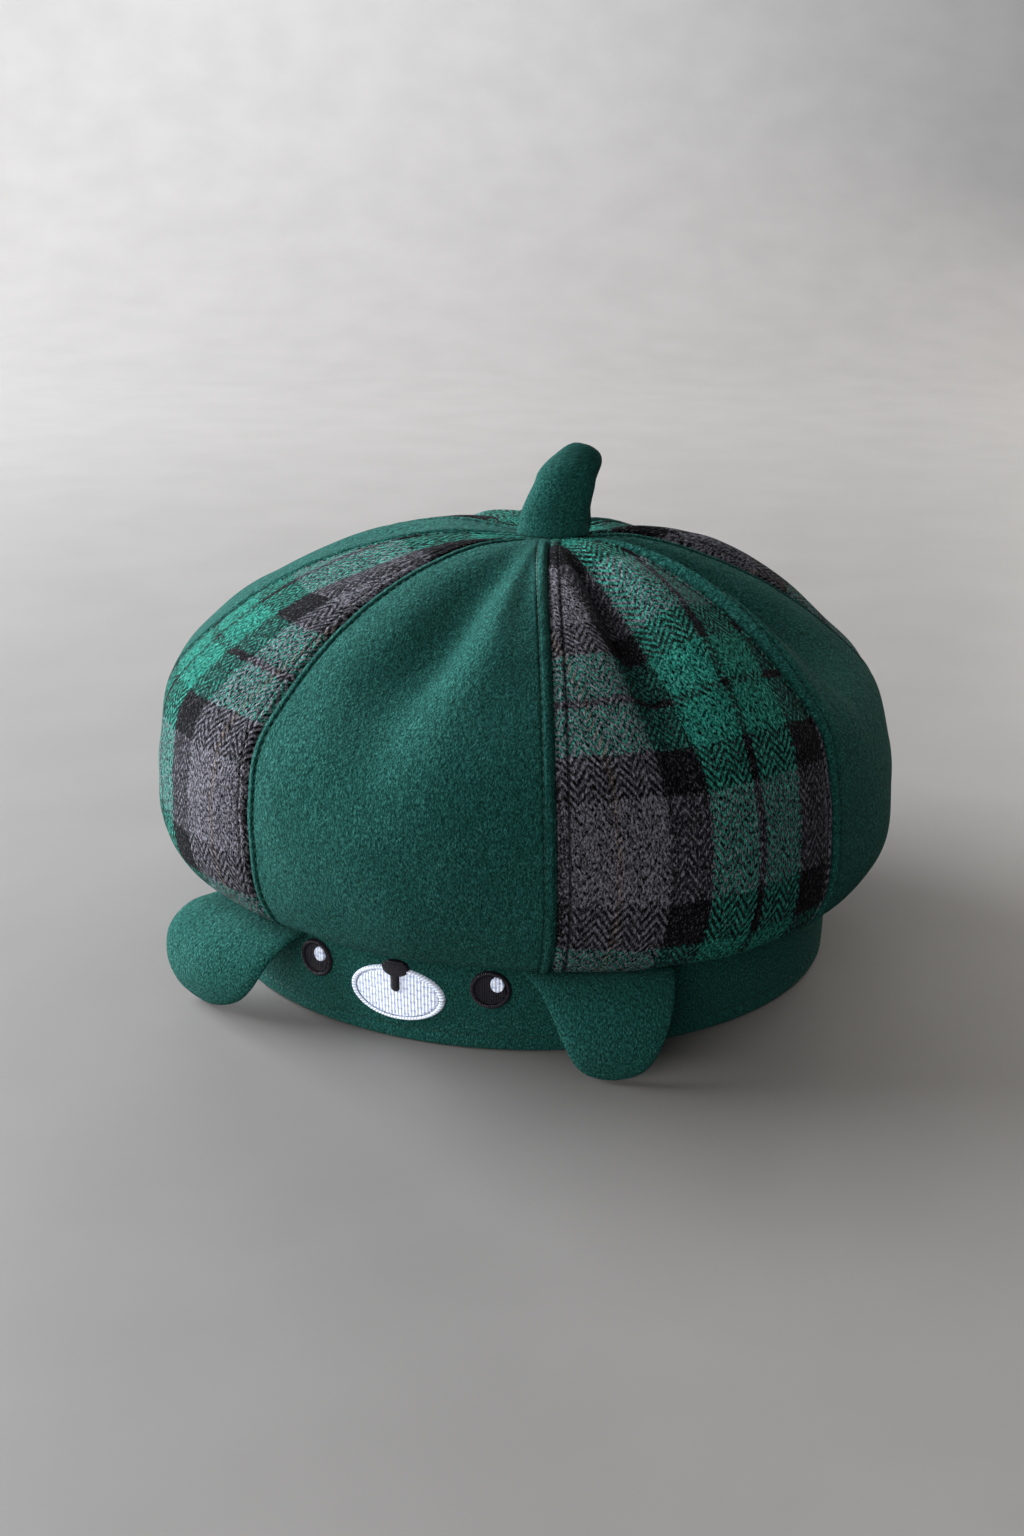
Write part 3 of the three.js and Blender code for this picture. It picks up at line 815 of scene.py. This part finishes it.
# The stem from its foot to its tip: shares of STEM_HEIGHT, STEM_BEND and STEM_WIDTH.
STEM = [
    dict(up=0.0, bend=0.0, width=1.0),
    dict(up=0.22, bend=0.1, width=0.955),
    dict(up=0.44, bend=0.3, width=0.865),
    dict(up=0.57, bend=0.45, width=0.825),
    dict(up=0.67, bend=0.58, width=0.81),
    dict(up=0.8, bend=0.84, width=0.73),
    dict(up=0.9, bend=1.0, width=0.55),
    dict(up=0.97, bend=1.0, width=0.32),
    dict(up=1.0, bend=0.93, width=0.1),
]


def make_stem():
    """The padded stem, whose foot lies on the crown's top."""
    knots = [
        (row["up"] * STEM_HEIGHT, row["bend"] * STEM_BEND, row["width"] * STEM_WIDTH / 2)
        for row in STEM
    ]
    stations = at_share(through(knots), np.linspace(0, 1, STEM_RINGS))
    turn = np.linspace(0, 2 * math.pi, STEM_SIDES, endpoint=False)
    crown_top = BAND_HEIGHT + CROWN_RISE + SEAT_GAP
    rings, cloth = [], []
    squeeze = STEM_THICKNESS / STEM_WIDTH
    for up, bend, half in stations:
        lumps = 1 + 0.03 * ripple(turn * 6, up + 0 * turn, 91, 9)
        x = np.cos(turn) * half * lumps + bend
        y = np.sin(turn) * half * squeeze * lumps
        foot = np.interp(np.hypot(x, y), MERIDIAN_LINE[:500, 0], MERIDIAN_LINE[:500, 1]) + SEAT_GAP
        settle = smoothstep(up, 0, STEM_SEAT)
        z = (foot + up) * (1 - settle) + (crown_top + up) * settle
        rings.append(np.stack([
            x * math.cos(STEM_TURN) - y * math.sin(STEM_TURN) + LEAN_SIDE,
            x * math.sin(STEM_TURN) + y * math.cos(STEM_TURN) - LEAN_FRONT,
            z,
        ], -1))
        cloth.append(np.stack([turn * half, up + 0 * turn, 0 * turn], -1))
    points, faces = capped(np.array(rings))
    piece = make_piece("cloth_stem", points, faces, plain_felt, cloth)
    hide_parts("stem")


make_stem()


# ---------------------------------------------------------------- embroidered face

MUZZLE_WIDTH, MUZZLE_HEIGHT, MUZZLE_PLACE = 27.5, 15.8, 14.4
NOSE_WIDTH, NOSE_HEIGHT, NOSE_PLACE = 7.8, 4.6, 22.0
LIP_WIDTH, LIP_LENGTH = 2.5, 4.6
EYE_SIZE, EYE_PLACE = 11.0, 18.6
EYE_SPREAD = math.radians(16)
GLINT_WIDTH, GLINT_HEIGHT, GLINT_SHIFT = 3.8, 4.5, 1.9
BORDER = 1.3  # the raised border's width
FILL_RISE = 0.75
BORDER_RISE = 1.15
NOSE_RISE = 1.6
BORDER_GROOVE = 0.45  # between the border and the fill
ROOT_DEPTH = 0.2  # how far the embroidery's edge sinks in the nap


def on_band(around, up, lift):
    """A point over the band's outside, by how far round from the middle of the face and how far up."""
    angle = FACE_TURN + around / BAND_OUTER
    return hat_point(angle, band_radius(up, angle) + lift, up)


def make_embroidery(name, outline, middle, rises, border, material, stands_for):
    """A patch inside an outline of (around, up) points: a fill, and a raised border of threads across it."""
    outline = np.asarray(outline)
    size = np.linalg.norm(outline, axis=1).mean()
    inset = border / size if border else 0
    fill_rise, border_rise = rises
    shares = [1.0, 1.0]
    lifts = [-ROOT_DEPTH, 0.25 * border_rise]
    for angle in np.linspace(0.25, math.pi if border else math.pi / 2, 14):
        shares.append(1 - (inset if border else 0.35) * (1 - math.cos(angle)) / 2)
        crest = math.sin(min(angle, math.pi)) * (border_rise - fill_rise * (angle > math.pi / 2))
        base = fill_rise if angle > math.pi / 2 else 0.0
        lifts.append(max(base + crest, 0.3 * border_rise))
    inner = shares[-1]
    if border:
        lifts[-1] -= BORDER_GROOVE
    for share in np.linspace(inner, 0.04, 22)[1:]:
        shares.append(share)
        lifts.append(fill_rise)
    rings, cloth = [], []
    lengths = np.concatenate([[0], np.cumsum(np.linalg.norm(np.diff(outline, axis=0), axis=1))])
    for share, lift in zip(shares, lifts):
        around, up = (outline * share).T
        rings.append(on_band(around + middle[0], up + middle[1], lift))
        if border and share > inner + 1e-6:
            cloth.append(np.stack([0 * around + share * size, lengths, 0 * around], -1))
        else:
            cloth.append(np.stack([up, around, 1 + 0 * around], -1))
    points, faces = capped(np.array(rings))
    piece = make_piece(name, points, faces, material, cloth)
    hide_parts(stands_for)


def oval(width, height, count=120):
    turn = np.linspace(0, 2 * math.pi, count, endpoint=False)
    return np.stack([np.cos(turn) * width / 2, np.sin(turn) * height / 2], -1)


def nose_outline():
    """The nose's oval, and the line under it."""
    lip = LIP_WIDTH / 2
    corner = math.acos(lip / (NOSE_WIDTH / 2))
    turn = np.linspace(-corner, math.pi + corner, 80)
    top = np.stack([np.cos(turn) * NOSE_WIDTH / 2, np.sin(turn) * NOSE_HEIGHT / 2], -1)
    low = lip - NOSE_HEIGHT / 2 - LIP_LENGTH
    turn = np.linspace(math.pi, 2 * math.pi, 24)
    bottom = np.stack([np.cos(turn) * lip, np.sin(turn) * lip + low], -1)
    return np.concatenate([top, bottom])


def make_nose():
    """The nose and the line under it, laid as one dome of thread along their middle."""
    outline = nose_outline()
    lip_end = LIP_WIDTH / 2 - NOSE_HEIGHT / 2 - LIP_LENGTH
    spine = np.stack([0 * outline[:, 0], np.clip(outline[:, 1], lip_end, 0)], -1)
    rings, cloth = [], []
    for share in [1.0, *np.cos(np.linspace(0.1, math.pi / 2 - 0.02, 12))]:
        lift = NOSE_RISE * math.sqrt(1 - share**2) * 0.5 + NOSE_RISE * 0.5 * (share < 1)
        lift = lift - ROOT_DEPTH * (share == 1)
        around, up = (spine + (outline - spine) * share).T
        rings.append(on_band(around, up + NOSE_PLACE, lift))
        cloth.append(np.stack([around, up, 0 * up], -1))
    points, faces = capped(np.array(rings))
    piece = make_piece("stitched_nose", points, faces, black_thread, cloth)
    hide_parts("nose")


def make_face():
    make_embroidery("stitched_muzzle", oval(MUZZLE_WIDTH, MUZZLE_HEIGHT), (0, MUZZLE_PLACE),
                    (FILL_RISE, BORDER_RISE), BORDER, white_thread, "muzzle")
    for side, name in ((-1, "left"), (1, "right")):
        around = side * EYE_SPREAD * BAND_OUTER
        make_embroidery(f"stitched_eye_{name}", oval(EYE_SIZE, EYE_SIZE), (around, EYE_PLACE),
                        (FILL_RISE, BORDER_RISE), BORDER, black_thread, f"eye_{name}")
        make_embroidery(f"stitched_glint_{name}", oval(GLINT_WIDTH, GLINT_HEIGHT, 60),
                        (around + GLINT_SHIFT, EYE_PLACE + GLINT_SHIFT), (NOSE_RISE, NOSE_RISE), 0,
                        white_thread, f"eye_glint_{name}")
    make_nose()


make_face()


# ---------------------------------------------------------------- floor, light and camera

VIEW_TURN = math.radians(20)  # the camera stands this far round from the face, towards +X


def from_view(side, forward, height):
    """A point by how far right of the cap's axis it is, and beyond it, as the camera looks; in metres."""
    x = side * math.cos(VIEW_TURN) - forward * math.sin(VIEW_TURN)
    y = side * math.sin(VIEW_TURN) + forward * math.cos(VIEW_TURN)
    return Vector((x, y, height)) * MM + Vector(CAP_AXIS)


FLOOR_HALF = 6000
FLOOR_BEYOND = 1400  # where the floor begins to sweep up behind the cap
SWEEP = 1000
WALL_TOP = 3000
FLOOR_LOW = (0.122, 0.1185, 0.1165)
FLOOR_HIGH = (0.134, 0.13, 0.128)

# The camera's place and aim were fitted to the photograph, about the cap's axis.
VIEW_DISTANCE = 498.4
VIEW_HEIGHT = 225.9
VIEW_SIDE = -3.2
VIEW_PITCH = math.radians(19.45)
VIEW_LENS = 39.84
SENSOR_WIDTH = 36

ROOM_COLOR = (0.92, 0.95, 1.0)
ROOM_LIGHT = 0.13


def add_floor():
    """A plain floor that sweeps up into a wall behind the cap."""
    section = [(-FLOOR_HALF, 0), (FLOOR_BEYOND, 0)]
    for turn in np.linspace(0, math.pi / 2, 25)[1:]:
        section.append((FLOOR_BEYOND + SWEEP * math.sin(turn), SWEEP * (1 - math.cos(turn))))
    section.append((FLOOR_BEYOND + SWEEP, WALL_TOP))
    sides = (-FLOOR_HALF, FLOOR_HALF)
    points = [tuple(from_view(side, forward, up)) for forward, up in section for side in sides]
    faces = [(i, i + 1, i + 3, i + 2) for i in range(0, len(points) - 2, 2)]
    mesh = bpy.data.meshes.new("floor")
    mesh.from_pydata(points, [], faces)
    mesh.polygons.foreach_set("use_smooth", [True] * len(mesh.polygons))
    floor = bpy.data.objects.new("floor", mesh)
    bpy.context.scene.collection.objects.link(floor)
    pale = Finish("pale_floor", Roughness=0.55, Specular_IOR_Level=0.3)
    speckle = pale.noise(60.0, detail=4.0)
    tone = speckle.smooth(0.2, 0.8).mix(flat(FLOOR_LOW), flat(FLOOR_HIGH))
    mesh.materials.append(pale.paint(tone, speckle, 0.1, 0.2))


def add_camera():
    data = bpy.data.cameras.new("camera")
    data.lens = VIEW_LENS
    data.sensor_width = SENSOR_WIDTH
    data.clip_start = 0.01
    camera = bpy.data.objects.new("camera", data)
    camera.location = from_view(VIEW_SIDE, -VIEW_DISTANCE, VIEW_HEIGHT)
    camera.rotation_euler = (math.pi / 2 - VIEW_PITCH, 0, VIEW_TURN)
    bpy.context.scene.collection.objects.link(camera)
    bpy.context.scene.camera = camera


def add_light(name, place, size, power, color, aim=(0, 0, 60)):
    """A soft square light, placed and aimed as the camera sees it."""
    data = bpy.data.lights.new(name, "AREA")
    data.shape, data.size, data.energy, data.color = "SQUARE", size, power, color
    light = bpy.data.objects.new(name, data)
    light.location = from_view(*place)
    light.rotation_euler = (from_view(*aim) - light.location).to_track_quat("-Z", "Y").to_euler()
    bpy.context.scene.collection.objects.link(light)


def add_world():
    world = bpy.data.worlds.new("room")
    world.use_nodes = True
    background = world.node_tree.nodes["Background"]
    background.inputs[0].default_value = flat(ROOM_COLOR)
    background.inputs[1].default_value = ROOM_LIGHT
    bpy.context.scene.world = world


add_floor()
add_camera()
add_light("window", (-2050, 850, 760), 2.1, 400, (0.96, 0.98, 1.0))
add_light("front", (-700, -1300, 500), 1.4, 27, (1.0, 0.98, 0.95))
add_light("side", (1200, 1300, 700), 1.2, 24, (1.0, 0.95, 0.86))
add_light("backdrop", (-300, 1500, 1500), 1.5, 60, (0.97, 0.98, 1.0), aim=(0, 2600, 200))
add_world()
bpy.context.scene.view_settings.view_transform = "Standard"
